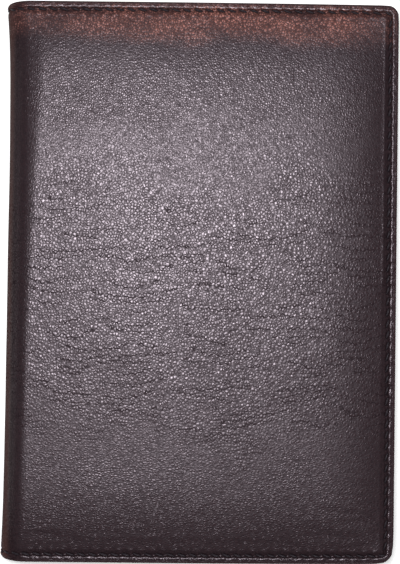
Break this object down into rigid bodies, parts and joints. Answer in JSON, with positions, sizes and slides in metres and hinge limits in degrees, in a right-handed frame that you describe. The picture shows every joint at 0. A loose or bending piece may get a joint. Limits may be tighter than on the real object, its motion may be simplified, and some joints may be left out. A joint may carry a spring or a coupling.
{
  "type": "passport wallet",
  "caption": "Leather bifold passport wallet with padded covers, a round spine, card pockets and a passport sleeve.",
  "frame": {"origin": "middle of the flat of the back cover, on the plane that the closed wallet lies on", "axes": "+X from the spine to the fore edge, +Y from the tail to the head (up in the picture), +Z from the back cover to the front cover"},
  "size_m": [0.1, 0.143, 0.0156],
  "materials": {
    "outer_hide": "fine pebbled grain with a soft sheen",
    "pocket_hide": "fine grain, satin",
    "lining_cloth": "matte twill",
    "foam": "matte open cell foam",
    "board": "matte pressed fibre board",
    "thread": "twisted polyester, waxed"
  },
  "bodies": {
    "back_cover": {"back_cover_leather": "outer_hide", "back_foam_padding": "foam", "back_stiffener_board": "board", "back_lining": "lining_cloth", "back_seam_thread": "thread", "ticket_pocket_panel": "pocket_hide", "passport_sleeve": "pocket_hide"},
    "spine": {"spine_leather": "outer_hide", "spine_reinforcement": "board", "spine_lining": "lining_cloth", "spine_head_thread": "thread", "spine_tail_thread": "thread"},
    "front_cover": {"front_cover_leather": "outer_hide", "front_foam_padding": "foam", "front_stiffener_board": "board", "front_lining": "lining_cloth", "front_seam_thread": "thread", "slip_pocket_panel": "pocket_hide", "card_pocket_1": "pocket_hide", "card_pocket_2": "pocket_hide", "card_pocket_3": "pocket_hide", "card_pocket_4": "pocket_hide", "card_pocket_tail_1": "lining_cloth", "card_pocket_tail_2": "lining_cloth", "card_pocket_tail_3": "lining_cloth"}
  },
  "joints": [
    {"name": "back_fold", "type": "hinge", "parent": "back_cover", "child": "spine", "pos_m": [-0.04831, 0, 0.00309], "axis": [0, -1, 0], "range_deg": [0, 90]},
    {"name": "front_fold", "type": "hinge", "parent": "spine", "child": "front_cover", "pos_m": [-0.04831, 0, 0.0125], "axis": [0, -1, 0], "range_deg": [0, 90]}
  ]
}
